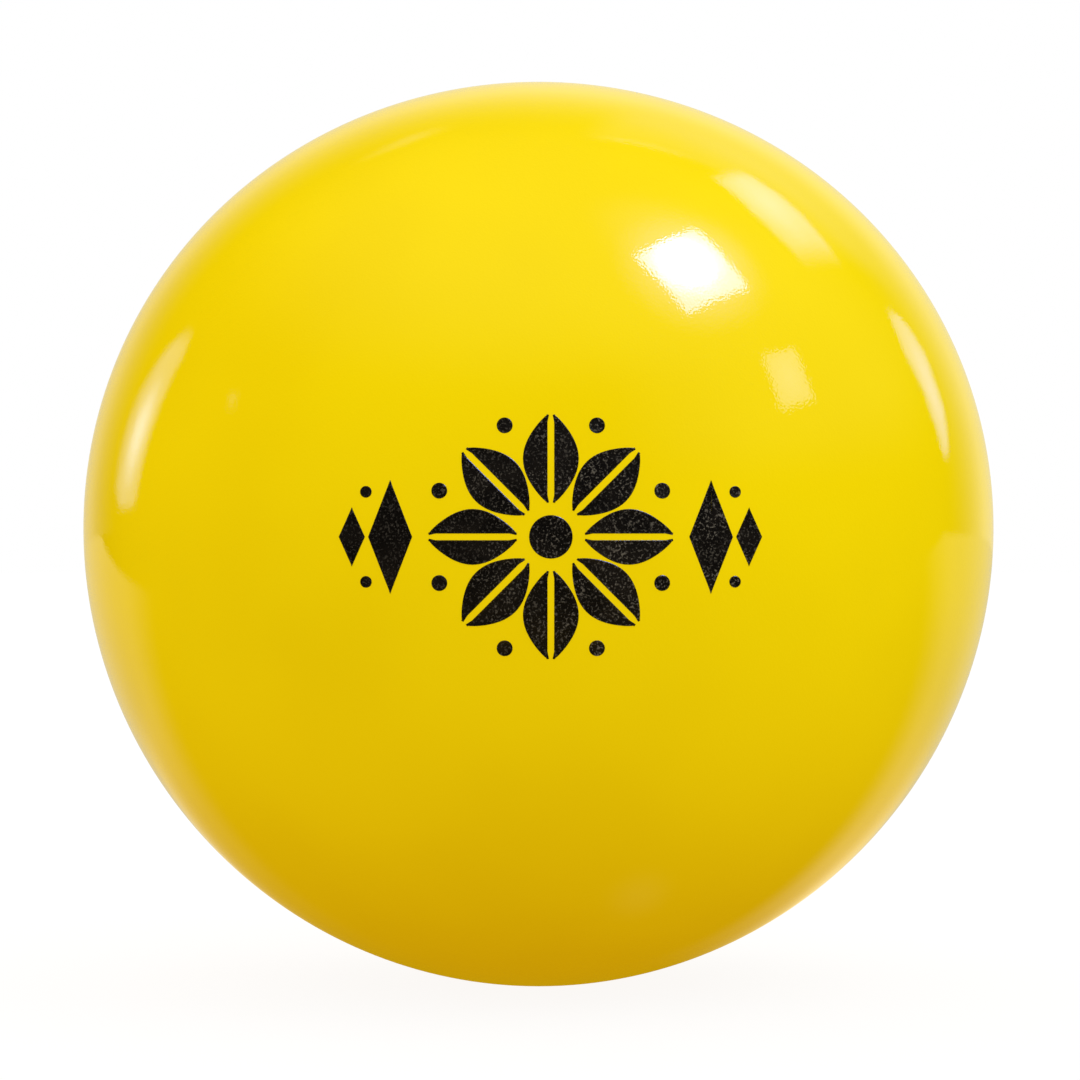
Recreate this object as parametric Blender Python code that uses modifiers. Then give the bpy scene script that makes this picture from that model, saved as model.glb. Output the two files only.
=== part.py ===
"""A seamless vinyl play ball with a stopper valve in its back.

The ball is three pieces. The skin is cast hollow in one piece, with no seam. The valve seat is a harder insert that
the skin was cast around: its collar fills the hole in the skin, its flange is held inside a thick pad of the skin,
and its tube reaches into the ball. The stopper is a ribbed plug with a flat head, which pushes into the seat until
its head lies just below the round of the ball, and pulls straight out to let air in or out.

The origin is the middle of the ball. +Z is up, the valve looks along +Y, and the ball stands on a small flat patch,
as a soft ball does under its own weight.
"""

import math

import bmesh
import bpy

# The ball as it is blown up, in metres
WAIST_DIAMETER = 0.150
WAIST_SWELL = 0.00023  # the waist stands out of round by this much, and the poles lie in by as much
SHOULDER_SWELL = 0.00024  # so do the shoulders, 30 degrees above the waist
REST_PATCH_RADIUS = 0.0060
SKIN_WALL = 0.0012

# The stopper
HEAD_RADIUS = 0.0056
HEAD_THICKNESS = 0.0011
HEAD_SINK = 0.0005  # its face lies this far below the round of the ball
HEAD_ROUND = 0.00035
RIB_COUNT = 4
RIB_HEIGHT = 0.00035
RIB_BACK = 0.0002  # the steep side of a rib, which grips as the stopper is pulled
RIB_FRONT = 0.0013  # the long side, which leads the way in
NOSE_LENGTH = 0.0020  # how far the stopper reaches past the seat's tube
NOSE_ROUND = 0.0010
STEM_WALL = 0.0011  # round the blind core, which keeps the moulding's walls even
CORE_DEPTH = 0.0080

# The valve seat
BORE_MOUTH_RADIUS = 0.0034
BORE_END_RADIUS = 0.0029
BORE_LEAD_IN = 0.0004
TUBE_LENGTH = 0.0130  # from the floor of the head's recess to the inner end
TUBE_WALL = 0.0022
TUBE_ROUND = 0.0006
COLLAR_RIM = 0.0021  # between the recess and the skin
FLOOR_THICKNESS = 0.0012
FLANGE_LIP = 0.0055  # how far the flange spreads past the collar
FLANGE_EDGE = 0.0008
HUB_FILLET = 0.0012
NICK_RADIUS = 0.0016  # the scoop beside the stopper's head, for a fingernail
NICK_LAND = 0.0005  # what the scoop leaves of the rim
NICK_SINK = 0.0004  # how far the scoop goes below the recess's floor

# The pad, where the skin is thick around the seat
PAD_SLOPE = 0.0025
PAD_NECK = 0.0020  # how far the skin climbs the seat's tube
PAD_ROUND = 0.0010

# Clearances and small edges
FIT_GAP = 0.0003
EDGE_ROUND = 0.00025

# Facets
SKIN_STEPS = 68
CAVITY_STEPS = 44
VALVE_STEPS = 32
FACE_STEPS = 2
BED_STEPS = 3
PAD_STEPS = 4
ROUND_STEPS = 3
NICK_STEPS = 20
SHARP_ANGLE = math.radians(35)

# Sizes that follow from those above. Heights in the valve are from where its axis leaves the ball.
WAIST_RADIUS = WAIST_DIAMETER / 2
MEAN_RADIUS = WAIST_RADIUS - WAIST_SWELL
RECESS_RADIUS = HEAD_RADIUS + FIT_GAP
HEAD_UNDERSIDE = -(HEAD_SINK + HEAD_THICKNESS)
RECESS_FLOOR = HEAD_UNDERSIDE - FIT_GAP
COLLAR_RADIUS = RECESS_RADIUS + COLLAR_RIM
FLANGE_RADIUS = COLLAR_RADIUS + FLANGE_LIP
TUBE_RADIUS = BORE_MOUTH_RADIUS + TUBE_WALL
TUBE_END = RECESS_FLOOR - TUBE_LENGTH
NOSE_END = TUBE_END - NOSE_LENGTH


def clear_scene():
    for thing in list(bpy.data.objects):
        bpy.data.objects.remove(thing, do_unlink=True)


def new_collection(name):
    made = bpy.data.collections.new(name)
    bpy.context.scene.collection.children.link(made)
    return made


def plastic(name, colour, roughness, coat=0.0):
    """A Principled material of one plastic; the colour is linear."""
    made = bpy.data.materials.new(name)
    made.use_nodes = True
    made.diffuse_color = (*colour, 1.0)
    shader = made.node_tree.nodes["Principled BSDF"]
    shader.inputs["Base Color"].default_value = (*colour, 1.0)
    shader.inputs["Roughness"].default_value = roughness
    shader.inputs["Metallic"].default_value = 0.0
    shader.inputs["Coat Weight"].default_value = coat
    return made


def fillet(before, corner, after, radius):
    """The points of an arc that rounds a corner of a profile, no larger than its two sides have room for."""
    to_before = (before[0] - corner[0], before[1] - corner[1])
    to_after = (after[0] - corner[0], after[1] - corner[1])
    length_before = math.hypot(*to_before)
    length_after = math.hypot(*to_after)
    one = (to_before[0] / length_before, to_before[1] / length_before)
    two = (to_after[0] / length_after, to_after[1] / length_after)
    half_angle = math.acos(max(-1.0, min(1.0, one[0] * two[0] + one[1] * two[1]))) / 2
    reach = min(radius / math.tan(half_angle), length_before / 2.1, length_after / 2.1)
    arc = reach * math.tan(half_angle)
    middle = (one[0] + two[0], one[1] + two[1])
    away = arc / math.sin(half_angle) / math.hypot(*middle)
    centre = (corner[0] + middle[0] * away, corner[1] + middle[1] * away)
    start = math.atan2(corner[1] + one[1] * reach - centre[1], corner[0] + one[0] * reach - centre[0])
    end = math.atan2(corner[1] + two[1] * reach - centre[1], corner[0] + two[0] * reach - centre[0])
    turn = (end - start + math.pi) % (2 * math.pi) - math.pi
    steps = ROUND_STEPS if radius > EDGE_ROUND else 1
    angles = [start + turn * step / steps for step in range(steps + 1)]
    return [(centre[0] + arc * math.cos(angle), centre[1] + arc * math.sin(angle)) for angle in angles]


def rounded(corners):
    """A profile from its corners, each a radius, a height and how far it is rounded."""
    points = []
    for i, (radius, height, rounding) in enumerate(corners):
        if rounding:
            after = corners[(i + 1) % len(corners)]
            points += fillet(corners[i - 1], (radius, height), after, rounding)
        else:
            points.append((radius, height))
    return points


def along(start, end, steps, height_at):
    """The corners of a curved face between two radii, both ends left out."""
    radii = [start + (end - start) * step / steps for step in range(1, steps)]
    return [(radius, height_at(radius), 0) for radius in radii]


def turned(name, profile, steps, collection, closed=False):
    """A solid of revolution about its own Z, from a profile that runs down its outer side."""
    mesh = bpy.data.meshes.new(name)
    wire = bmesh.new()
    points = [wire.verts.new((radius, 0.0, height)) for radius, height in profile]
    for one, two in zip(points, points[1:]):
        wire.edges.new((one, two))
    if closed:
        wire.edges.new((points[-1], points[0]))
    wire.to_mesh(mesh)
    wire.free()
    made = bpy.data.objects.new(name, mesh)
    collection.objects.link(made)
    screw = made.modifiers.new("turn", "SCREW")
    screw.steps = steps
    screw.render_steps = steps
    screw.use_merge_vertices = True
    screw.merge_threshold = 0.00001
    return made


def combine(piece, tool, operation):
    tool.hide_render = True
    tool.display_type = "WIRE"
    made = piece.modifiers.new(tool.name, "BOOLEAN")
    made.operation = operation
    made.solver = "EXACT"
    made.object = tool


def finish(piece, material):
    """Keeps the shape that the modifiers give, shaded smooth between its sharp edges."""
    bpy.context.view_layer.update()
    shown = piece.evaluated_get(bpy.context.evaluated_depsgraph_get())
    mesh = bpy.data.meshes.new_from_object(shown)
    piece.modifiers.clear()
    piece.data = mesh
    mesh.name = piece.name
    mesh.materials.clear()
    mesh.materials.append(material)
    mesh.shade_smooth()
    mesh.set_sharp_from_angle(angle=SHARP_ANGLE)


def ball_radius(elevation):
    """From the middle of the ball to its outside, at an angle above the waist."""
    return (
        MEAN_RADIUS
        + WAIST_SWELL * math.cos(2 * elevation)
        + SHOULDER_SWELL * math.sin(3 * elevation)
    )


def ball_profile(inset, steps):
    """The ball's outline from its top to the middle of its rest patch, drawn in by inset."""
    lowest = -math.acos(REST_PATCH_RADIUS / ball_radius(-math.pi / 2))
    rows = steps // 2
    points = [(0.0, ball_radius(math.pi / 2) - inset)]
    for row in range(1, rows + 1):
        elevation = math.pi / 2 + (lowest - math.pi / 2) * row / rows
        radius = ball_radius(elevation) - inset
        points.append((radius * math.cos(elevation), radius * math.sin(elevation)))
    points.append((0.0, points[-1][1]))
    return points


def skin_height(distance, depth=0.0):
    """The height of the round of the ball, or of what lies at a depth under it, at a distance from the axis."""
    radius = WAIST_RADIUS - depth
    return math.sqrt(radius * radius - distance * distance) - WAIST_RADIUS


def bed_height(distance):
    """The top of the seat's flange, which follows the skin over it."""
    return skin_height(distance, SKIN_WALL + FIT_GAP)


def bore_radius(height):
    """The seat's bore narrows from the floor of the recess to the end of the tube."""
    share = (RECESS_FLOOR - height) / TUBE_LENGTH
    return BORE_MOUTH_RADIUS + (BORE_END_RADIUS - BORE_MOUTH_RADIUS) * share


def hub_height():
    """The inner side of the flange where it meets the collar's line, thick enough under the recess and the skin."""
    return min(RECESS_FLOOR, bed_height(COLLAR_RADIUS)) - FLOOR_THICKNESS


def seat_outside(room):
    """The corners of the seat from under its collar's face to its tube, with room all round for the skin's pocket."""
    return [
        (COLLAR_RADIUS + room, bed_height(COLLAR_RADIUS) + room, 0),
        *[
            (radius, height + room, 0)
            for radius, height, _ in along(COLLAR_RADIUS + room, FLANGE_RADIUS, BED_STEPS, bed_height)
        ],
        (FLANGE_RADIUS + room, bed_height(FLANGE_RADIUS) + room, EDGE_ROUND),
        (FLANGE_RADIUS + room, bed_height(FLANGE_RADIUS) - FLANGE_EDGE - room, EDGE_ROUND),
        (COLLAR_RADIUS, hub_height() - room, HUB_FILLET),
        (TUBE_RADIUS + room, hub_height() - room, HUB_FILLET),
    ]


def seat_profile():
    """Round the seat: its face, the collar, the flange, the tube, and back up the bore and the head's recess."""
    return rounded(
        [
            (RECESS_RADIUS, skin_height(RECESS_RADIUS), EDGE_ROUND),
            *along(RECESS_RADIUS, COLLAR_RADIUS, FACE_STEPS, skin_height),
            (COLLAR_RADIUS, skin_height(COLLAR_RADIUS), EDGE_ROUND),
            *seat_outside(room=0.0),
            (TUBE_RADIUS, TUBE_END, TUBE_ROUND),
            (BORE_END_RADIUS, TUBE_END, EDGE_ROUND),
            (BORE_MOUTH_RADIUS, RECESS_FLOOR, BORE_LEAD_IN),
            (RECESS_RADIUS, RECESS_FLOOR, EDGE_ROUND),
        ]
    )


def pad_profile():
    """The pad from the middle of the skin's wall down over the flange and a little way along the tube."""
    lip = FLANGE_RADIUS + FIT_GAP + SKIN_WALL
    foot = lip + PAD_SLOPE
    neck = TUBE_RADIUS + FIT_GAP + SKIN_WALL
    cover = FIT_GAP + SKIN_WALL
    neck_end = hub_height() - cover - PAD_NECK

    def mid_wall(distance):
        return skin_height(distance, SKIN_WALL / 2)

    return rounded(
        [
            (0.0, mid_wall(0.0), 0),
            *along(0.0, foot, PAD_STEPS, mid_wall),
            (foot, mid_wall(foot), 0),
            (lip, bed_height(FLANGE_RADIUS) - FLANGE_EDGE - cover, PAD_ROUND),
            (neck, hub_height() - cover, PAD_ROUND),
            (neck, neck_end, EDGE_ROUND),
            (0.0, neck_end, 0),
        ]
    )


def pocket_profile():
    """What the seat takes out of the skin and its pad, with a soft edge where the hole leaves the ball."""
    hole = COLLAR_RADIUS + FIT_GAP
    edge = hole + EDGE_ROUND
    above = 2 * SKIN_WALL
    below = TUBE_END - NOSE_LENGTH
    return rounded(
        [
            (0.0, above, 0),
            (edge, above, 0),
            (edge, skin_height(edge), 0),
            (hole, skin_height(edge) - EDGE_ROUND, 0),
            *seat_outside(room=FIT_GAP),
            (TUBE_RADIUS + FIT_GAP, below, 0),
            (0.0, below, 0),
        ]
    )


def stopper_profile():
    """Down the outside of the stopper from the middle of its face, then up its core."""
    pitch = TUBE_LENGTH / (RIB_COUNT + 1)

    def stem(height):
        return bore_radius(height) - FIT_GAP - RIB_HEIGHT

    ribs = []
    for rib in range(RIB_COUNT):
        top = RECESS_FLOOR - pitch * (rib + 1)
        ribs += [
            (stem(top), top, 0),
            (stem(top) + RIB_HEIGHT, top - RIB_BACK, 0),
            (stem(top - RIB_BACK - RIB_FRONT), top - RIB_BACK - RIB_FRONT, 0),
        ]
    nose = stem(TUBE_END)
    core = nose - STEM_WALL
    core_end = NOSE_END + CORE_DEPTH
    return rounded(
        [
            (0.0, -HEAD_SINK, 0),
            (HEAD_RADIUS, -HEAD_SINK, HEAD_ROUND),
            (HEAD_RADIUS, HEAD_UNDERSIDE, EDGE_ROUND),
            (stem(RECESS_FLOOR), HEAD_UNDERSIDE, HEAD_ROUND),
            *ribs,
            (nose, TUBE_END, 0),
            (nose, NOSE_END, NOSE_ROUND),
            (core, NOSE_END, EDGE_ROUND),
            (core, core_end, EDGE_ROUND),
            (0.0, core_end, 0),
        ]
    )


def nail_scoop(collection, frame):
    """Takes the rim away at the top of the recess, so that a fingernail gets under the stopper's head."""
    mesh = bpy.data.meshes.new("nail_scoop")
    ball = bmesh.new()
    bmesh.ops.create_uvsphere(ball, u_segments=NICK_STEPS, v_segments=NICK_STEPS // 2, radius=NICK_RADIUS)
    ball.to_mesh(mesh)
    ball.free()
    made = bpy.data.objects.new("nail_scoop", mesh)
    collection.objects.link(made)
    made.parent = frame
    made.location = (0.0, -(COLLAR_RADIUS - NICK_LAND - NICK_RADIUS), RECESS_FLOOR - NICK_SINK + NICK_RADIUS)
    return made


def make_skin(parts, tools, frame):
    skin = turned("ball_skin", ball_profile(0.0, SKIN_STEPS), SKIN_STEPS, parts)
    cavity = turned("cavity", ball_profile(SKIN_WALL, CAVITY_STEPS), CAVITY_STEPS, tools)
    pad = turned("valve_pad", pad_profile(), VALVE_STEPS, tools)
    pocket = turned("valve_pocket", pocket_profile(), VALVE_STEPS, tools)
    pad.parent = frame
    pocket.parent = frame
    combine(skin, cavity, "DIFFERENCE")
    combine(skin, pad, "UNION")
    combine(skin, pocket, "DIFFERENCE")
    finish(skin, plastic("yellow_vinyl", (0.90, 0.68, 0.006), 0.12, coat=0.4))


def make_seat(parts, tools, frame):
    seat = turned("valve_seat", seat_profile(), VALVE_STEPS, parts, closed=True)
    seat.parent = frame
    combine(seat, nail_scoop(tools, frame), "DIFFERENCE")
    finish(seat, plastic("seat_vinyl", (0.86, 0.62, 0.010), 0.35))


def make_stopper(parts, frame):
    stopper = turned("valve_stopper", stopper_profile(), VALVE_STEPS, parts)
    stopper.parent = frame
    finish(stopper, plastic("stopper_plastic", (0.80, 0.80, 0.77), 0.40))


def main():
    clear_scene()
    parts = new_collection("vinyl_ball")
    tools = new_collection("cutters")

    # The valve's frame stands where its axis leaves the ball, and its Z looks out along that axis.
    frame = bpy.data.objects.new("valve_frame", None)
    parts.objects.link(frame)
    frame.location = (0.0, WAIST_RADIUS, 0.0)
    frame.rotation_euler = (-math.pi / 2, 0.0, 0.0)

    make_skin(parts, tools, frame)
    make_seat(parts, tools, frame)
    make_stopper(parts, frame)


main()
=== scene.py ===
import math

import bmesh
import bpy
from mathutils import Matrix, Vector


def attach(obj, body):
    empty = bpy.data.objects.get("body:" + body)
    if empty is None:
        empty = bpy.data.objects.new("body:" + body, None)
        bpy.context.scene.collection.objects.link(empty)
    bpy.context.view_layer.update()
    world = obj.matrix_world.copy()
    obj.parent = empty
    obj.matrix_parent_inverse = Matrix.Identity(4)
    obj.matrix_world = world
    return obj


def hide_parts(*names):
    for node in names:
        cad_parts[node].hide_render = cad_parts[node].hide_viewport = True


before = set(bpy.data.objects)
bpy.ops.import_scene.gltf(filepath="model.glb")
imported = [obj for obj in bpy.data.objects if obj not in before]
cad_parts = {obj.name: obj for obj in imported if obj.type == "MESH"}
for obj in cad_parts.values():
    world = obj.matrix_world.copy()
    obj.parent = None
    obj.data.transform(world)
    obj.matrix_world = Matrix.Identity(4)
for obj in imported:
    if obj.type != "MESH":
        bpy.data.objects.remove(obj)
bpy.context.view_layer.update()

# The valve seat. It is moulded first, of a harder vinyl, and set in the ball's mould before the skin is cast round it.
# Its collar shows in the back of the ball as a satin ring 16 mm across, with a recess for the stopper's head and a
# scoop for a fingernail at the top. Its flange lies in the skin's pad, and its tube, 13 mm long, takes the pump.
WAIST_RADIUS = 0.075
SKIN_WALL = 0.0012
FIT_GAP = 0.0003
EDGE_ROUND = 0.00025
RECESS_RADIUS = 0.0059
RECESS_FLOOR = WAIST_RADIUS - 0.0019
COLLAR_RADIUS = 0.0080
FLANGE_RADIUS = 0.0135
FLANGE_EDGE = 0.0008
HUB_FILLET = 0.0012
BORE_MOUTH_RADIUS = 0.0034
BORE_END_RADIUS = 0.0029
BORE_LEAD_IN = 0.0004
TUBE_RADIUS = 0.0056
TUBE_LENGTH = 0.0130
TUBE_END = RECESS_FLOOR - TUBE_LENGTH
TUBE_ROUND = 0.0006
HUB_DEPTH = 0.0012
SCOOP_RADIUS = 0.0016
SCOOP_MIDDLE = Vector((0.0, WAIST_RADIUS - 0.0007, RECESS_RADIUS))
SEAT_YELLOW = (0.86, 0.62, 0.010)
SEAT_SHADOW = (0.80, 0.55, 0.008)
SEAT_TEXTURE = 0.000012
ROUND_STEPS = 5
TURN_STEPS = 128
SHARP_ANGLE = math.radians(40)
MERGE_DISTANCE = 1e-6
VINYL_GLOSS = {"IOR": 1.5, "Specular IOR Level": 0.5}


def round_of_ball(distance, depth=0.0):
    """How far out along the valve's axis the ball's round lies, or what is a depth under it."""
    return math.sqrt((WAIST_RADIUS - depth) ** 2 - distance**2)


def bed(distance):
    """The outer side of the seat's flange, which follows the skin over it."""
    return round_of_ball(distance, SKIN_WALL + FIT_GAP)


HUB = min(RECESS_FLOOR, bed(COLLAR_RADIUS)) - HUB_DEPTH


def curved(start, end, steps, height):
    """Corners along a curved face, both ends left out."""
    radii = [start + (end - start) * step / steps for step in range(1, steps)]
    return [(radius, height(radius), 0) for radius in radii]


def seat_outside(room):
    """The seat's corners from under its collar's face to its tube, with room all round for the pocket in the skin."""
    return [
        (COLLAR_RADIUS + room, bed(COLLAR_RADIUS) + room, 0),
        *[(radius, y + room, 0) for radius, y, _ in curved(COLLAR_RADIUS + room, FLANGE_RADIUS, 8, bed)],
        (FLANGE_RADIUS + room, bed(FLANGE_RADIUS) + room, EDGE_ROUND),
        (FLANGE_RADIUS + room, bed(FLANGE_RADIUS) - FLANGE_EDGE - room, EDGE_ROUND),
        (COLLAR_RADIUS, HUB - room, HUB_FILLET),
        (TUBE_RADIUS + room, HUB - room, HUB_FILLET),
    ]


def profile(mesh, corners, before=None, after=None):
    """Edges through corners, each a distance from the valve's axis, a place along it and how far it is rounded."""
    points = [mesh.verts.new((radius, y, 0.0)) for radius, y, _ in corners]
    line = [*([before] if before else []), *points, *([after] if after else [])]
    for one, two in zip(line, line[1:]):
        mesh.edges.new((one, two))
    if not before and corners[0][0] > 0:
        mesh.edges.new((points[-1], points[0]))
    for size in sorted({rounding for _, _, rounding in corners if rounding}):
        bmesh.ops.bevel(
            mesh,
            geom=[point for point, corner in zip(points, corners) if corner[2] == size],
            offset=size,
            offset_type="OFFSET",
            segments=ROUND_STEPS,
            profile=0.5,
            affect="VERTICES",
            clamp_overlap=True,
            material=-1,
        )


def turn(mesh, steps):
    """Turns a profile right round the valve's axis, closes its poles and faces it outwards."""
    bmesh.ops.spin(
        mesh,
        geom=mesh.verts[:] + mesh.edges[:],
        cent=(0, 0, 0),
        axis=(0, 1, 0),
        angle=math.tau,
        steps=steps,
        use_merge=True,
    )
    bmesh.ops.remove_doubles(mesh, verts=mesh.verts, dist=MERGE_DISTANCE)
    bmesh.ops.recalc_face_normals(mesh, faces=mesh.faces)


def piece(name, mesh, material):
    """An object of a finished mesh, smooth between its sharp edges."""
    data = bpy.data.meshes.new(name)
    mesh.to_mesh(data)
    mesh.free()
    data.materials.append(material)
    data.shade_smooth()
    data.set_sharp_from_angle(angle=SHARP_ANGLE)
    made = bpy.data.objects.new(name, data)
    bpy.context.scene.collection.objects.link(made)
    return made


def cut_out(made, tool):
    """Takes the mesh of a tool out of a piece."""
    data = bpy.data.meshes.new("tool")
    tool.to_mesh(data)
    tool.free()
    cutter = bpy.data.objects.new("tool", data)
    bpy.context.scene.collection.objects.link(cutter)
    cut = made.modifiers.new("cut", "BOOLEAN")
    cut.operation = "DIFFERENCE"
    cut.solver = "EXACT"
    cut.object = cutter
    bpy.context.view_layer.update()
    shown = made.evaluated_get(bpy.context.evaluated_depsgraph_get())
    made.data = bpy.data.meshes.new_from_object(shown)
    made.modifiers.clear()
    bpy.data.objects.remove(cutter)
    made.data.shade_smooth()
    made.data.set_sharp_from_angle(angle=SHARP_ANGLE)


class Socket:
    """A node's output that adds, subtracts and multiplies like a number."""

    def __init__(self, tree, link):
        self.tree = tree
        self.link = link

    def node(self, kind, settings, sockets, output=0):
        """Adds a node: its settings first, then the values or links of its sockets."""
        made = self.tree.nodes.new(kind)
        for name, setting in settings.items():
            setattr(made, name, setting)
        for name, value in sockets.items():
            if isinstance(value, Socket):
                self.tree.links.new(value.link, made.inputs[name])
            else:
                made.inputs[name].default_value = value
        return Socket(self.tree, made.outputs[output])

    def math(self, operation, *values):
        return self.node("ShaderNodeMath", {"operation": operation}, dict(enumerate(values)))

    def __add__(self, other):
        return self.math("ADD", self, other)

    def __sub__(self, other):
        return self.math("SUBTRACT", self, other)

    def __rsub__(self, other):
        return self.math("SUBTRACT", other, self)

    def __mul__(self, other):
        return self.math("MULTIPLY", self, other)

    def __truediv__(self, other):
        return self.math("DIVIDE", self, other)

    __radd__ = __add__
    __rmul__ = __mul__

    def root(self):
        return self.math("SQRT", self)

    def larger(self, other):
        return self.math("MAXIMUM", self, other)

    def step(self, low, high):
        """Rises smoothly from 0 at low to 1 at high."""
        fade = {"interpolation_type": "SMOOTHSTEP"}
        return self.node("ShaderNodeMapRange", fade, {"Value": self, "From Min": low, "From Max": high})

    def noise(self, scale, detail=2.0, distortion=0.0):
        """Noise over this place, from 0 to 1, of so many waves to the metre."""
        sizes = {"Vector": self, "Scale": scale, "Detail": detail, "Distortion": distortion}
        return self.node("ShaderNodeTexNoise", {"noise_dimensions": "3D"}, sizes)

    def axis(self, index):
        return self.node("ShaderNodeSeparateXYZ", {}, {0: self}, output=index)

    def colour(self, one, two):
        """From one colour to another as this value goes from 0 to 1."""
        ends = [end if isinstance(end, Socket) else (*end, 1.0) for end in (one, two)]
        return self.node("ShaderNodeMix", {"data_type": "RGBA"}, {0: self, 6: ends[0], 7: ends[1]}, output=2)

    def bump(self, height):
        """A surface that stands out by this value times a height in metres."""
        return self.node("ShaderNodeBump", {}, {"Strength": 1.0, "Distance": height, "Height": self})

    def into(self, shader, name):
        self.tree.links.new(self.link, shader.inputs[name])


def plastic(name, fixed):
    """A material with its unchanging values on the shader's own sockets, and the place that its patterns read."""
    made = bpy.data.materials.new(name)
    made.use_nodes = True
    shader = made.node_tree.nodes["Principled BSDF"]
    for socket, value in fixed.items():
        shader.inputs[socket].default_value = value
    coordinates = made.node_tree.nodes.new("ShaderNodeTexCoord")
    return made, shader, Socket(made.node_tree, coordinates.outputs["Object"])


seat_vinyl, shader, place = plastic("seat_vinyl", VINYL_GLOSS)
place.noise(500, 3).colour(SEAT_YELLOW, SEAT_SHADOW).into(shader, "Base Color")
(0.30 + place.noise(2200) * 0.12).into(shader, "Roughness")
place.noise(5200, 2).bump(SEAT_TEXTURE).into(shader, "Normal")

mesh = bmesh.new()
profile(
    mesh,
    [
        (RECESS_RADIUS, round_of_ball(RECESS_RADIUS), EDGE_ROUND),
        *curved(RECESS_RADIUS, COLLAR_RADIUS, 6, round_of_ball),
        (COLLAR_RADIUS, round_of_ball(COLLAR_RADIUS), EDGE_ROUND),
        *seat_outside(room=0.0),
        (TUBE_RADIUS, TUBE_END, TUBE_ROUND),
        (BORE_END_RADIUS, TUBE_END, EDGE_ROUND),
        (BORE_MOUTH_RADIUS, RECESS_FLOOR, BORE_LEAD_IN),
        (RECESS_RADIUS, RECESS_FLOOR, EDGE_ROUND),
    ],
)
turn(mesh, TURN_STEPS)
seat = piece("moulded_seat", mesh, seat_vinyl)
scoop = bmesh.new()
bmesh.ops.create_uvsphere(scoop, u_segments=48, v_segments=24, radius=SCOOP_RADIUS)
bmesh.ops.translate(scoop, vec=SCOOP_MIDDLE, verts=scoop.verts)
cut_out(seat, scoop)
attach(seat, "ball")
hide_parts("valve_seat")

# The skin. Yellow vinyl, 1.2 mm thick and the same colour right through, cast hollow in a closed turning mould, so it
# has no seam. It is 150.0 mm across the waist and 148.8 mm tall, glossy, with a very fine orange peel, and it stands
# on a flat patch 12 mm across. Round the valve it thickens into a pad that grips the seat's flange.
WAIST_SWELL = 0.00023
MEAN_RADIUS = WAIST_RADIUS - WAIST_SWELL
SHOULDER_SWELL = 0.00024
REST_HEIGHT = -0.074534945
NECK_LENGTH = 0.0020
PAD_ROUND = 0.0010
PAD_RUN_OUT = 0.0025
VINYL_YELLOW = (0.93, 0.745, 0.0016)
VINYL_DEEP = (0.90, 0.710, 0.0013)
GLOSSIEST = 0.026
ORANGE_PEEL = 0.000009
PEEL_FINE = 2800
PEEL_COARSE = 420
PUCKER_HEIGHT = 0.00006
PUCKER_RISE = (0.0118, 0.0140)
PUCKER_FALL = (0.0142, 0.0172)


def ball_radius(elevation):
    """From the middle of the ball to its outside, at an angle above the waist."""
    return MEAN_RADIUS + WAIST_SWELL * math.cos(2 * elevation) + SHOULDER_SWELL * math.sin(3 * elevation)


def ball_arc(mesh, radius, rim, steps):
    """An arc from the middle of the front to a rim round the valve, and the point that it ends at."""
    start = mesh.verts.new((0.0, -radius, 0.0))
    angle = math.pi - math.asin(rim / radius)
    made = bmesh.ops.spin(
        mesh, geom=[start], cent=(0, 0, 0), axis=(0, 0, 1), angle=angle, steps=steps, use_merge=False
    )
    return made["geom_last"][0]


hole = COLLAR_RADIUS + FIT_GAP
hole_edge = hole + EDGE_ROUND
cover = FIT_GAP + SKIN_WALL
lip = FLANGE_RADIUS + cover
neck = TUBE_RADIUS + cover
neck_end = HUB - cover - NECK_LENGTH

mesh = bmesh.new()
profile(
    mesh,
    [
        (hole, round_of_ball(hole_edge) - EDGE_ROUND, 0),
        *seat_outside(room=FIT_GAP),
        (TUBE_RADIUS + FIT_GAP, neck_end, 0),
        (neck, neck_end, EDGE_ROUND),
        (neck, HUB - cover, PAD_ROUND),
        (lip, bed(FLANGE_RADIUS) - FLANGE_EDGE - cover, PAD_ROUND),
    ],
    before=ball_arc(mesh, WAIST_RADIUS, hole_edge, 180),
    after=ball_arc(mesh, WAIST_RADIUS - SKIN_WALL, lip + PAD_RUN_OUT, 60),
)
turn(mesh, 2 * TURN_STEPS)
for point in mesh.verts:
    point.co *= ball_radius(math.asin(point.co.z / point.co.length)) / WAIST_RADIUS
cut = bmesh.ops.bisect_plane(
    mesh,
    geom=mesh.verts[:] + mesh.edges[:] + mesh.faces[:],
    plane_co=(0.0, 0.0, REST_HEIGHT),
    plane_no=(0.0, 0.0, -1.0),
    clear_outer=True,
)
rim = [part for part in cut["geom_cut"] if isinstance(part, bmesh.types.BMEdge)]
bmesh.ops.holes_fill(mesh, edges=rim, sides=0)
bmesh.ops.recalc_face_normals(mesh, faces=mesh.faces)

yellow_vinyl, shader, place = plastic("yellow_vinyl", VINYL_GLOSS)
place.noise(26, 2).step(0.3, 0.7).colour(VINYL_YELLOW, VINYL_DEEP).into(shader, "Base Color")
(GLOSSIEST + place.noise(90, 3).step(0.35, 0.75) * 0.012).into(shader, "Roughness")
across, out, upright = place.axis(0), place.axis(1), place.axis(2)
from_valve = (across * across + upright * upright).root()
pucker = from_valve.step(*PUCKER_RISE) * (1 - from_valve.step(*PUCKER_FALL)) * out.step(0.0, 0.01)
peel = place.noise(PEEL_FINE, 0.0) * 0.8 + place.noise(PEEL_COARSE, 1.0) * 0.9
(peel * ORANGE_PEEL + pucker * PUCKER_HEIGHT).bump(1.0).into(shader, "Normal")

skin = piece("cast_skin", mesh, yellow_vinyl)
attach(skin, "ball")
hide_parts("ball_skin")

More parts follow.
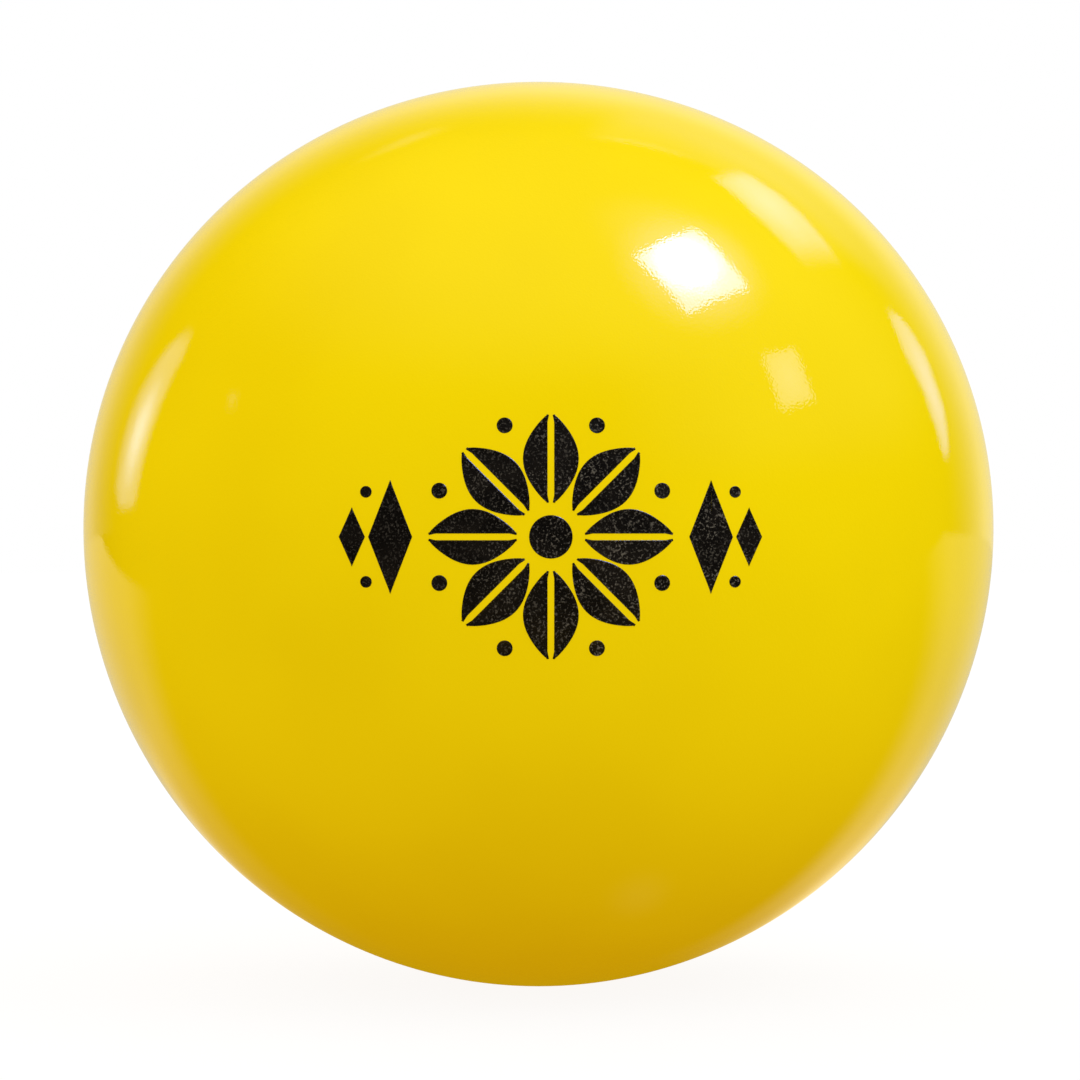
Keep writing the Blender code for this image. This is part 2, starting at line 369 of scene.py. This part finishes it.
# The print. One hit of a soft pad lays black ink on the front, 62 mm wide and a few hundredths of a millimetre thick,
# with a low bead at its edges and a fine grain. It is a band of common ornament: a rosette of eight petals between
# lozenges and dots.
PRINT_MIDDLE = Vector((0.0018, -0.0006))
INK_ROOT = -0.00003
INK_BEAD = 0.00008
INK_TOP = 0.00003
BEAD_WIDTH = 0.00013
LONG_EDGE = 0.0012
MIDDLE_DOT = (0.0032, 0.0032)
PETAL_COUNT = 8
PETAL = (0.0041, 0.0066)
PETAL_REACH = 0.0114
PETAL_TAPER = 0.45
VEIN = 0.0009
OUTER_DOT = (0.0012, 0.0012)
OUTER_DOT_REACH = 0.0176
LARGE_LOZENGE = (0.0033, 0.0084)
LARGE_LOZENGE_AT = 0.0235
SMALL_LOZENGE = (0.0020, 0.0044)
SMALL_LOZENGE_AT = 0.0292
SMALL_DOT = (0.0009, 0.0009)
SMALL_DOT_AT = (0.0271, 0.0066)
INK_BLACK = (0.0048, 0.0040, 0.0030)
INK_BROWN = (0.0105, 0.0085, 0.0060)
# The colour of painted glints in the ink: painted highlights, not pale ink.
INK_GLINT = (0.118, 0.112, 0.090)
INK_GRAIN = 0.00005


def ink_patch(ink, sides, size, middle=(0.0, 0.0), reach=0.0, turned=0.0, taper=0.0, half=0):
    """One closed patch of ink, drawn flat: its sides rise from inside the skin to a bead, and its middle lies lower."""
    patch = bmesh.new()
    bmesh.ops.create_circle(patch, cap_ends=True, segments=sides, radius=1.0)
    bmesh.ops.rotate(patch, verts=patch.verts, matrix=Matrix.Rotation(math.pi / 2, 3, "Z"))
    for point in patch.verts:
        point.co.x *= size[0] * (1.0 - taper * point.co.y**2)
        point.co.y *= size[1]
    if half:
        bmesh.ops.bisect_plane(
            patch,
            geom=patch.verts[:] + patch.edges[:] + patch.faces[:],
            plane_co=(half * VEIN / 2, 0.0, 0.0),
            plane_no=(half, 0.0, 0.0),
            clear_inner=True,
        )
    straight = [edge for edge in patch.edges if edge.calc_length() > LONG_EDGE]
    bmesh.ops.subdivide_edges(patch, edges=straight, cuts=11)
    bmesh.ops.translate(patch, vec=(0.0, reach, INK_TOP), verts=patch.verts)
    bmesh.ops.rotate(patch, verts=patch.verts, matrix=Matrix.Rotation(turned, 3, "Z"))
    bmesh.ops.translate(patch, vec=(*middle, 0.0), verts=patch.verts)
    inner = patch.faces[:]
    for _ in range(2):
        bmesh.ops.inset_region(
            patch, faces=inner, thickness=BEAD_WIDTH, depth=0.0, use_boundary=True, use_even_offset=False
        )
    poked = bmesh.ops.poke(patch, faces=inner)
    bmesh.ops.subdivide_edges(patch, edges=poked["verts"][0].link_edges[:], cuts=3, use_grid_fill=True)
    outline = [point for point in patch.verts if point.is_boundary]
    bead = {edge.other_vert(point) for point in outline for edge in point.link_edges} - set(outline)
    for point in outline:
        point.co.z = INK_ROOT
    for point in bead:
        point.co.z = INK_BEAD
    bmesh.ops.holes_fill(patch, edges=[edge for edge in patch.edges if edge.is_boundary], sides=0)
    bmesh.ops.recalc_face_normals(patch, faces=patch.faces)
    data = bpy.data.meshes.new("ink_patch")
    patch.to_mesh(data)
    patch.free()
    ink.from_mesh(data)
    bpy.data.meshes.remove(data)


ink = bmesh.new()
ink_patch(ink, 48, MIDDLE_DOT)
for petal in range(PETAL_COUNT):
    turned = petal * math.tau / PETAL_COUNT
    for half in (-1, 1):
        ink_patch(ink, 64, PETAL, reach=PETAL_REACH, turned=turned, taper=PETAL_TAPER, half=half)
    ink_patch(ink, 32, OUTER_DOT, reach=OUTER_DOT_REACH, turned=turned + math.pi / PETAL_COUNT)
for side in (-1, 1):
    ink_patch(ink, 4, LARGE_LOZENGE, middle=(side * LARGE_LOZENGE_AT, 0.0))
    ink_patch(ink, 4, SMALL_LOZENGE, middle=(side * SMALL_LOZENGE_AT, 0.0))
    for end in (-1, 1):
        ink_patch(ink, 32, SMALL_DOT, middle=(side * SMALL_DOT_AT[0], end * SMALL_DOT_AT[1]))
for point in ink.verts:
    x, z, lift = point.co.x + PRINT_MIDDLE.x, point.co.y + PRINT_MIDDLE.y, point.co.z
    radius = ball_radius(math.asin(z / WAIST_RADIUS))
    on_skin = Vector((x, -math.sqrt(radius**2 - x**2 - z**2), z))
    point.co = on_skin * (1.0 + lift / radius)

black_ink, shader, place = plastic("black_ink", VINYL_GLOSS)
grain = place.noise(3000, 1.0, 0.6)
tone = place.noise(160, 3.0, 0.5).step(0.35, 0.75).colour(INK_BLACK, INK_BROWN)
# Pale specks in the ink's colour are painted glints of the softbox on the grain, stronger towards the right, the
# softbox's side.
painted_glints = grain.step(0.55, 0.70) * (0.45 + place.noise(260, 2.0).step(0.35, 0.65) * 0.55)
glints_to_right = 0.35 + place.axis(0).step(-0.026, 0.018) * 0.7
(painted_glints * glints_to_right).colour(tone, INK_GLINT).into(shader, "Base Color")
(0.20 + grain * 0.15).into(shader, "Roughness")
grain.bump(INK_GRAIN).into(shader, "Normal")

front_print = piece("front_print", ink, black_ink)
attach(front_print, "ball")

# The stopper. A moulded plug of natural white polyethylene with a flat head 11.2 mm across, four one-way ribs
# and a blind core. It pushes into the seat by hand until its head lies half a millimetre below the round of the ball.
HEAD_RADIUS = 0.0056
HEAD_FACE = WAIST_RADIUS - 0.0005
HEAD_UNDERSIDE = HEAD_FACE - 0.0011
HEAD_ROUND = 0.00035
RIB_COUNT = 4
RIB_HEIGHT = 0.00035
RIB_BACK = 0.0002
RIB_FRONT = 0.0013
RIB_ROUND = 0.00008
NOSE_END = TUBE_END - 0.0020
NOSE_ROUND = 0.0010
STEM_WALL = 0.0011
CORE_END = NOSE_END + 0.0080
GATE_RADIUS = 0.0008
GATE_DEPTH = 0.00015
GATE_ROUND = 0.0001
TOOL_MARKS = 14000
TOOL_MARK_DEPTH = 0.000008
NATURAL_WHITE = (0.80, 0.80, 0.77)
NATURAL_SHADE = (0.73, 0.73, 0.70)


def stem(y):
    """The stopper's stem keeps a small gap to the seat's narrowing bore under its ribs."""
    share = (RECESS_FLOOR - y) / TUBE_LENGTH
    return BORE_MOUTH_RADIUS + (BORE_END_RADIUS - BORE_MOUTH_RADIUS) * share - FIT_GAP - RIB_HEIGHT


ribs = []
for rib in range(RIB_COUNT):
    top = RECESS_FLOOR - TUBE_LENGTH / (RIB_COUNT + 1) * (rib + 1)
    ribs += [
        (stem(top), top, 0),
        (stem(top) + RIB_HEIGHT, top - RIB_BACK, RIB_ROUND),
        (stem(top - RIB_BACK - RIB_FRONT), top - RIB_BACK - RIB_FRONT, 0),
    ]
mesh = bmesh.new()
profile(
    mesh,
    [
        (0.0, HEAD_FACE - GATE_DEPTH, 0),
        (GATE_RADIUS * 0.7, HEAD_FACE - GATE_DEPTH, GATE_ROUND),
        (GATE_RADIUS, HEAD_FACE, GATE_ROUND),
        (HEAD_RADIUS, HEAD_FACE, HEAD_ROUND),
        (HEAD_RADIUS, HEAD_UNDERSIDE, EDGE_ROUND),
        (stem(RECESS_FLOOR), HEAD_UNDERSIDE, HEAD_ROUND),
        *ribs,
        (stem(TUBE_END), TUBE_END, 0),
        (stem(TUBE_END), NOSE_END, NOSE_ROUND),
        (stem(TUBE_END) - STEM_WALL, NOSE_END, EDGE_ROUND),
        (stem(TUBE_END) - STEM_WALL, CORE_END, EDGE_ROUND),
        (0.0, CORE_END, 0),
    ],
)
turn(mesh, TURN_STEPS)

natural_plastic, shader, place = plastic(
    "natural_plastic",
    {"IOR": 1.5, "Subsurface Weight": 0.25, "Subsurface Radius": (0.6, 0.6, 0.5), "Subsurface Scale": 0.001},
)
place.noise(380, 3).colour(NATURAL_WHITE, NATURAL_SHADE).into(shader, "Base Color")
across, upright = place.axis(0), place.axis(2)
turns = (across * across + upright * upright).root() * TOOL_MARKS
rings = turns.math("SINE", turns)
(0.36 + place.noise(1500) * 0.1).into(shader, "Roughness")
(rings * 0.3 + place.noise(3000)).bump(TOOL_MARK_DEPTH).into(shader, "Normal")

stopper = piece("ribbed_stopper", mesh, natural_plastic)
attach(stopper, "stopper")
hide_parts("valve_stopper")

# The studio. A white floor with a faint shadow, white behind the ball, and an even light from all round that is a
# little stronger from the upper right. What the gloss mirrors stands apart from that light: the backdrop, the edges of
# the table, a large softbox and a small one at the upper right, a strip at each side, and a panel behind the right
# shoulder. Their factors come partly from a fit of the ball's brightness to the photograph's, and partly from trial.
# The floor's glow for the ball: UNDER_BALL and AROUND_BALL are its painted bounce light, and BALL_ON_FLOOR is the
# painted amber of the ball's bounce and shade round its contact.
UNDER_BALL = (0.60, 0.385, 0.18)
AROUND_BALL = (1.03, 0.915, 0.80)
BALL_ON_FLOOR = (0.52, 0.32, 0.004)
BACKDROP = (1.0, 0.90, 0.62)
WARM_SIDE = (1.0, 0.84, 0.78)
BLACK = (0.0, 0.0, 0.0)
WHITE = (1.0, 1.0, 1.0)
COOL_LIGHT = (0.42, 0.62, 1.0)
BLUE_LIGHT = (0.30, 0.42, 1.0)
FLOOR_HALF = 6.0
SHADOW_SHARE = 0.10
FLOOR_WHITE = 0.905
FLOOR_POWER = 2.0
GLINT_AT = (0.021, -0.042)


def rays(tree):
    """Light Path's answers: a camera ray, a ray through something, and a mirrored ray."""
    path = tree.nodes.new("ShaderNodeLightPath")
    return [Socket(tree, path.outputs[name]) for name in ("Is Camera Ray", "Is Transmission Ray", "Is Glossy Ray")]


world = bpy.data.worlds.new("studio")
bpy.context.scene.world = world
world.use_nodes = True
world.cycles.sampling_method = "NONE"
tree = world.node_tree
tree.nodes.clear()
camera_ray, through_ray, mirrored_ray = rays(tree)
direction = Socket(tree, tree.nodes.new("ShaderNodeTexCoord").outputs["Generated"])
across, behind, upright = direction.axis(0), direction.axis(1), direction.axis(2)
left_side = (across * -1).larger(0.0)
spread = (across * across + upright * upright).root() + left_side * 0.10
screen = (1 - spread.step(0.46, 0.86)) * (0.85 - left_side * 0.48)
ceiling = upright.step(0.5, 1.0) * (0.26 - behind * 0.30)
right_glow = (across * 0.8 + upright * 0.45 - behind * 0.2).step(0.55, 0.95) * upright.step(0.12, 0.4) * 0.2
mirrored = screen * behind.step(0.0, 0.1) + ceiling + right_glow
front = 1.077 + upright * 0.21 - across * (across * 0.229 + upright * 0.097 + 0.097)
rear = behind * (0.187 - across * 0.324) + behind.step(0.1, 0.5) * 0.37 - behind.step(0.45, 1.0) * 1.2
dome = front + rear
strength = camera_ray.larger(through_ray)
light = dome * (1 - mirrored_ray) + mirrored * mirrored_ray
level = light * (1 - strength) + strength
sides = across.step(-1.0, 0.5).colour(WARM_SIDE, WHITE)
tint = strength.colour(mirrored_ray.colour(sides, BACKDROP), WHITE)
back = level.node("ShaderNodeBackground", {}, {"Color": tint, "Strength": level})
sky = tree.nodes.new("ShaderNodeOutputWorld")
back.into(sky, "Surface")

mesh = bmesh.new()
bmesh.ops.create_grid(mesh, x_segments=8, y_segments=8, size=FLOOR_HALF)
bmesh.ops.translate(mesh, vec=(0.0, 0.0, REST_HEIGHT), verts=mesh.verts)
paper = bpy.data.materials.new("white_floor")
paper.use_nodes = True
paper.cycles.emission_sampling = "NONE"
tree = paper.node_tree
tree.nodes.clear()
camera_ray, through_ray, mirrored_ray = rays(tree)
place = Socket(tree, tree.nodes.new("ShaderNodeTexCoord").outputs["Object"])
x, y = place.axis(0), place.axis(1)
table_left = (x * 0.795 + y * 0.606 + 0.290).step(-0.01, 0.03)
table_right = (y * 0.852 - x * 0.523 + 0.261).step(-0.01, 0.03)
away = (x * x + y * y).root()
side = x / away.larger(0.02)
turned = (y + 0.025) / away.larger(0.02)
gloss = turned.step(0.28, 0.58) * 0.46 + turned.step(0.60, 0.95) * 0.24
# A painted glint of the softbox on the floor, just in front of the ball, that only the gloss sees.
glint_x, glint_y = x - GLINT_AT[0], y - GLINT_AT[1]
glint = 1 - (glint_x * glint_x + glint_y * glint_y).root().step(0.0, 0.010)
shine = gloss * table_left * table_right * away.step(0.02, 0.135 - side * 0.06) + glint * 0.12
# To the ball's diffuse light the floor glows instead of reflecting. This painted bounce light is warm and dim under the
# ball, paler further out, and its strength is shaped by place.
bounce = away.step(0.01, 0.27)
flank = x.math("ABSOLUTE", x)
near = 1.026 - away.step(0.1, 0.3) * 0.16 - flank.step(0.02, 0.2) * 0.08
lit = near + (y + flank * 0.4).step(-0.1, 0.35) * 0.62 - (y - flank * 0.5).step(0.02, 0.35) * 0.6
shadowed = place.node("ShaderNodeBsdfDiffuse", {}, {"Color": (*(SHADOW_SHARE,) * 3, 1.0)})
white = place.node("ShaderNodeEmission", {}, {"Color": (*WHITE, 1.0), "Strength": FLOOR_WHITE})
paper_light = (lit / FLOOR_POWER).colour(BLACK, bounce.colour(UNDER_BALL, AROUND_BALL))
floor_glow = place.node("ShaderNodeEmission", {}, {"Color": paper_light, "Strength": FLOOR_POWER})
# In the gloss the floor shows a painted reflection of the backdrop towards the back, and painted amber bounce and shade
# round the ball's contact.
contact = (1 - away.step(0.04, 0.24)).colour(BLACK, BALL_ON_FLOOR)
gleam = place.node("ShaderNodeEmission", {}, {"Color": shine.colour(BLACK, BACKDROP), "Strength": 1.0})
contact_glow = place.node("ShaderNodeEmission", {}, {"Color": contact, "Strength": 1.0})
sheen = place.node("ShaderNodeAddShader", {}, {0: gleam, 1: contact_glow})
seen = place.node("ShaderNodeAddShader", {}, {0: shadowed, 1: white})
unseen = place.node("ShaderNodeMixShader", {}, {0: mirrored_ray, 1: floor_glow, 2: sheen})
chosen = camera_ray.larger(through_ray)
surface = place.node("ShaderNodeMixShader", {}, {0: chosen, 1: unseen, 2: seen})
surface.into(tree.nodes.new("ShaderNodeOutputMaterial"), "Surface")
floor = piece("white_floor", mesh, paper)


def facing(azimuth, elevation, distance):
    """A point round the ball: azimuth 0 is in front of it and 90 to its right as seen, in degrees."""
    turned, raised = math.radians(azimuth), math.radians(elevation)
    flat = math.cos(raised) * distance
    return Vector((math.sin(turned) * flat, -math.cos(turned) * flat, math.sin(raised) * distance))


def mirrored_panel(
    name, colour, rows, low, high, middle=(0.5, 0.5), spread=0.5, rims=(0.1,) * 4, grow=1.0, distance=1.0
):
    """A glow that only the gloss sees, from high at its middle to low, soft at its left, right, top and bottom rims.

    Each row, from the top down, is the azimuth and elevation of its left end and of its right end.
    """
    sheet = bmesh.new()
    layer = sheet.loops.layers.uv.new("UVMap")
    points = [[sheet.verts.new(facing(*end, distance)) for end in (row[:2], row[2:])] for row in rows]
    for number, (upper, lower) in enumerate(zip(points, points[1:])):
        face = sheet.faces.new((upper[0], upper[1], lower[1], lower[0]))
        top, bottom = 1 - number / (len(rows) - 1), 1 - (number + 1) / (len(rows) - 1)
        for loop, uv in zip(face.loops, ((0, top), (1, top), (1, bottom), (0, bottom))):
            loop[layer].uv = uv
    centre = sum((point.co for point in sheet.verts), Vector()) / len(sheet.verts)
    for point in sheet.verts:
        point.co = centre + (point.co - centre) * grow
    bmesh.ops.subdivide_edges(sheet, edges=sheet.edges[:], cuts=5, use_grid_fill=True)
    glow = bpy.data.materials.new(name)
    glow.use_nodes = True
    tree = glow.node_tree
    tree.nodes.clear()
    place = Socket(tree, tree.nodes.new("ShaderNodeTexCoord").outputs["UV"])
    u, v = place.axis(0), place.axis(1)
    left, right, top, bottom = rims
    window = u.step(0.0, left) * (1 - u.step(1 - right, 1.0)) * v.step(0.0, bottom) * (1 - v.step(1 - top, 1.0))
    du, dv = u - middle[0], v - middle[1]
    hot = 1 - (du * du + dv * dv).root().step(0.0, spread)
    glow_colour = (window * (low / high + hot * (1 - low / high))).colour(BLACK, colour)
    shine = place.node("ShaderNodeEmission", {}, {"Color": glow_colour, "Strength": high})
    clear = place.node("ShaderNodeBsdfTransparent", {}, {"Color": (*WHITE, 1.0)})
    both = place.node("ShaderNodeAddShader", {}, {0: shine, 1: clear})
    both.into(tree.nodes.new("ShaderNodeOutputMaterial"), "Surface")
    panel = piece(name, sheet, glow)
    panel.visible_camera = False
    panel.visible_diffuse = False
    panel.visible_transmission = False
    panel.visible_shadow = False


softbox = ((46, 65.5, 92.4, 63.2), (49.5, 48, 79.4, 48.6))
mirrored_panel("large_softbox", BLUE_LIGHT, softbox, 10.5, 32, (0.46, 0.60), 0.56, (0.04, 0.06, 0.05, 0.05))
mirrored_panel("softbox_halo", BLUE_LIGHT, softbox, 0, 4.2, grow=2.0, distance=1.1)
spill = ((18, 82, 130, 80), (28, 38, 114, 36))
mirrored_panel("softbox_spill", COOL_LIGHT, spill, 0, 0.6, rims=(0.4,) * 4, distance=1.2)
mirrored_panel("small_softbox", COOL_LIGHT, ((65, 36.4, 78.5, 35.7), (63.4, 23.6, 75.8, 24.1)), 2.6, 3.4)
mirrored_panel(
    "shoulder",
    BLUE_LIGHT,
    (
        (135, 57, 145, 47.5),
        (124.5, 55.2, 138.5, 43.2),
        (117, 52.8, 134, 41.2),
        (110.5, 47.5, 128.5, 39),
        (106.5, 43, 122.5, 36),
    ),
    2.0,
    3.8,
    (0.45, 0.6),
    0.5,
    (0.08, 0.12, 0.12, 0.3),
)
mirrored_panel(
    "shoulder_haze",
    BLUE_LIGHT,
    ((170, 66, 122, 38), (172, 37, 136, 22)),
    0.2,
    0.35,
    rims=(0.15, 0.2, 0.12, 0.5),
    distance=1.2,
)
mirrored_panel(
    "right_strip",
    BLUE_LIGHT,
    (
        (125, 28.2, 128, 27),
        (121.8, 26.2, 130.2, 23.2),
        (119, 23.2, 130.8, 19.4),
        (119, 19, 129, 16.4),
        (119, 15, 127.6, 13),
        (119.2, 11.4, 125, 10.5),
        (119.8, 8, 122, 8),
    ),
    1.7,
    3.0,
    (0.5, 0.46),
    rims=(0.06, 0.1, 0.1, 0.1),
)
mirrored_panel(
    "left_strip",
    COOL_LIGHT,
    (
        (-120, 28, -115.5, 28.5),
        (-126.5, 20, -113, 24.2),
        (-129.5, 14.5, -112.6, 18.5),
        (-130.3, 9.5, -113, 12.5),
        (-129.5, 4.5, -114, 6.2),
        (-125, 1.5, -115.5, 2.2),
    ),
    1.25,
    4.2,
    (0.62, 0.43),
    0.33,
    (0.4, 0.08, 0.15, 0.1),
)
mirrored_panel("right_rail", COOL_LIGHT, ((142.7, 56, 166, 65.2), (142.7, 53.5, 166, 63)), 0.4, 0.6, rims=(0.3,) * 4)
mirrored_panel("left_rail", COOL_LIGHT, ((-166, 56, -150, 56), (-164, 50, -138, 48)), 0.15, 0.35, rims=(0.4,) * 4)
spot = ((-88.6, 25.4, -84.4, 25.4), (-86.8, 20.8, -82.8, 20.8))
mirrored_panel("left_glint", COOL_LIGHT, spot, 0.3, 0.8, rims=(0.3,) * 4)

key = bpy.data.lights.new("upper_right_light", "AREA")
key.shape = "DISK"
key.size = 0.9
key.energy = 2.2
lamp = bpy.data.objects.new("upper_right_light", key)
lamp.location = facing(62, 48, 1.2)
lamp.rotation_mode = "QUATERNION"
lamp.rotation_quaternion = lamp.location.to_track_quat("Z", "Y")
lamp.visible_glossy = False
lamp.visible_camera = False
bpy.context.scene.collection.objects.link(lamp)

# The camera. A long lens, level with the middle of the ball and 0.6 m in front of it, aimed a little low and to the
# right, so that the ball stands a little high in the picture.
CAMERA_DISTANCE = 0.598
AIM = Vector((0.00025, 0.0, -0.0012))
lens = bpy.data.cameras.new("camera")
lens.lens = 120.0
lens.sensor_width = 36.0
lens.clip_start = 0.01
lens.clip_end = 50.0
camera = bpy.data.objects.new("camera", lens)
camera.location = (0.0, -CAMERA_DISTANCE, 0.0)
camera.rotation_mode = "QUATERNION"
camera.rotation_quaternion = (AIM - camera.location).to_track_quat("-Z", "Y")
bpy.context.scene.collection.objects.link(camera)
bpy.context.scene.camera = camera
bpy.context.scene.view_settings.view_transform = "Standard"
